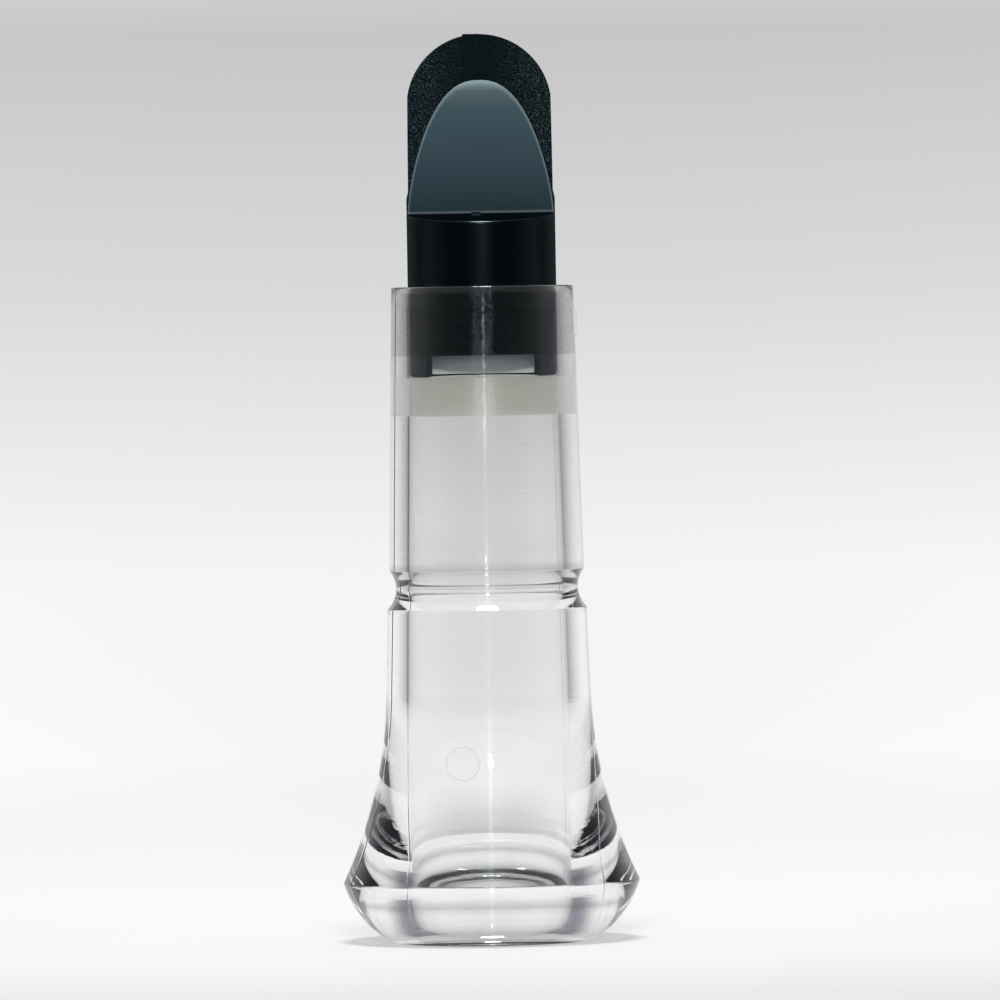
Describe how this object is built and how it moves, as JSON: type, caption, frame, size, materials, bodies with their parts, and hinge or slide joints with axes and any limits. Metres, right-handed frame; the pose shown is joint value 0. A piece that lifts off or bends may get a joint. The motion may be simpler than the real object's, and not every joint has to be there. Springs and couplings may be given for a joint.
{
  "type": "duck call",
  "caption": "Clear flared duck call body with a plug-in reed unit: black tone board, frosted reed and wedge block.",
  "frame": {"origin": "centre of the flat foot ring, at the bottom of the flared end", "axes": "+Z along the call's axis from the flared foot to the tip of the tone board; the reed faces -Y"},
  "size_m": [0.0316, 0.0316, 0.097],
  "materials": {
    "clear_plastic": "clear moulded plastic, polished outside, a finely machined grey band in the throat",
    "black_board": "black moulded plastic with a fine spark-eroded speckle on the flat face",
    "reed_film": "smoky blue-grey frosted film, translucent, with paler cut edges",
    "black_wedge": "glossy black moulded plastic"
  },
  "bodies": {
    "body": {"call_body": "clear_plastic"},
    "board": {"tone_board": "black_board"},
    "wedge": {"wedge_block": "black_wedge"},
    "reed": {"reed_clamped_end": "reed_film"},
    "tongue": {"reed_tongue": "reed_film"}
  },
  "joints": [
    {"name": "unit_pull", "type": "slide", "parent": "body", "child": "board", "axis": [0, 0, 1], "range_m": [0, 0.0095]},
    {"name": "wedge_pull", "type": "slide", "parent": "board", "child": "wedge", "axis": [0, 0, 1], "range_m": [0, 0.007]},
    {"name": "reed_pull", "type": "slide", "parent": "board", "child": "reed", "axis": [0, 0, 1], "range_m": [0, 0.0165]},
    {"name": "reed_flex", "type": "hinge", "parent": "reed", "child": "tongue", "pos_m": [0, 0, 0.0778], "axis": [-1, 0, 0], "range_deg": [0, 4.2], "stiffness_Nm_per_rad": 0.044}
  ]
}
